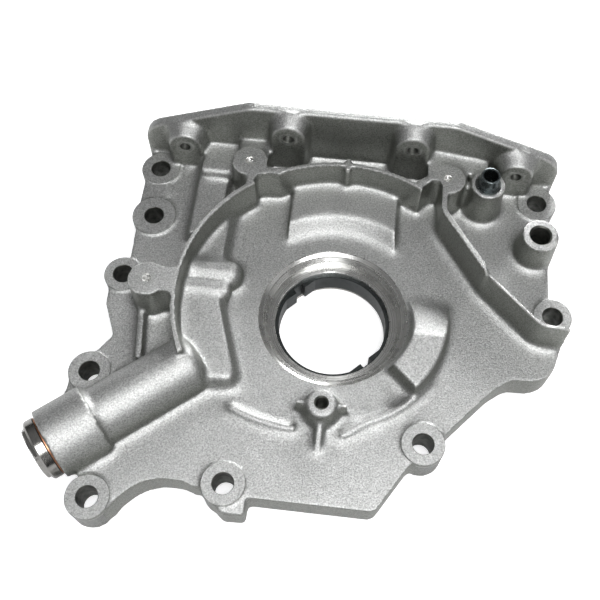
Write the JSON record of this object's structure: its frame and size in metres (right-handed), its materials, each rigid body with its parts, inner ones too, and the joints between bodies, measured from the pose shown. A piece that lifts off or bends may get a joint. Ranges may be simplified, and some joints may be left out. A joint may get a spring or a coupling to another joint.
{
  "type": "engine oil pump",
  "caption": "Crank-driven gerotor oil pump in a cast front housing, with seal bore, sump flange, bolt bosses and a spring-loaded relief valve.",
  "frame": {"origin": "on the crankshaft's axis, in the plane of the face that bolts to the engine block", "axes": "+Z out of the front along the crankshaft, +Y towards the sump flange, +X to the right seen from the front"},
  "size_m": [0.2339, 0.1917, 0.0608],
  "materials": {
    "cast_aluminium": "sand-cast matt",
    "sintered_steel": "dark satin",
    "machined_steel": "machined",
    "dark_steel": "oiled black",
    "copper": "bright"
  },
  "bodies": {
    "housing": {"pump_housing": "cast_aluminium", "rotor_cover": "machined_steel", "cover_screws": "dark_steel", "pipe_sleeve": "dark_steel", "relief_spring": "dark_steel", "relief_plug": "machined_steel", "plug_washer": "copper"},
    "inner_rotor": {"inner_rotor": "sintered_steel"},
    "outer_rotor": {"outer_rotor": "sintered_steel"},
    "relief_piston": {"relief_piston": "machined_steel"}
  },
  "joints": [
    {"name": "inner_spin", "type": "hinge", "parent": "housing", "child": "inner_rotor", "pos_m": [0, 0, 0], "axis": [0, 0, 1], "continuous": true},
    {"name": "outer_spin", "type": "hinge", "parent": "housing", "child": "outer_rotor", "pos_m": [-0.00277, 0.0016, 0], "axis": [0, 0, 1], "continuous": true},
    {"name": "piston_slide", "type": "slide", "parent": "housing", "child": "relief_piston", "axis": [-0.7716, -0.6361, 0], "range_m": [0, 0.008], "stiffness_N_per_m": 7500, "deforming": ["relief_spring"]}
  ],
  "couplings": [
    {"joint": "outer_spin", "follows": "inner_spin", "ratio": 0.90909}
  ]
}
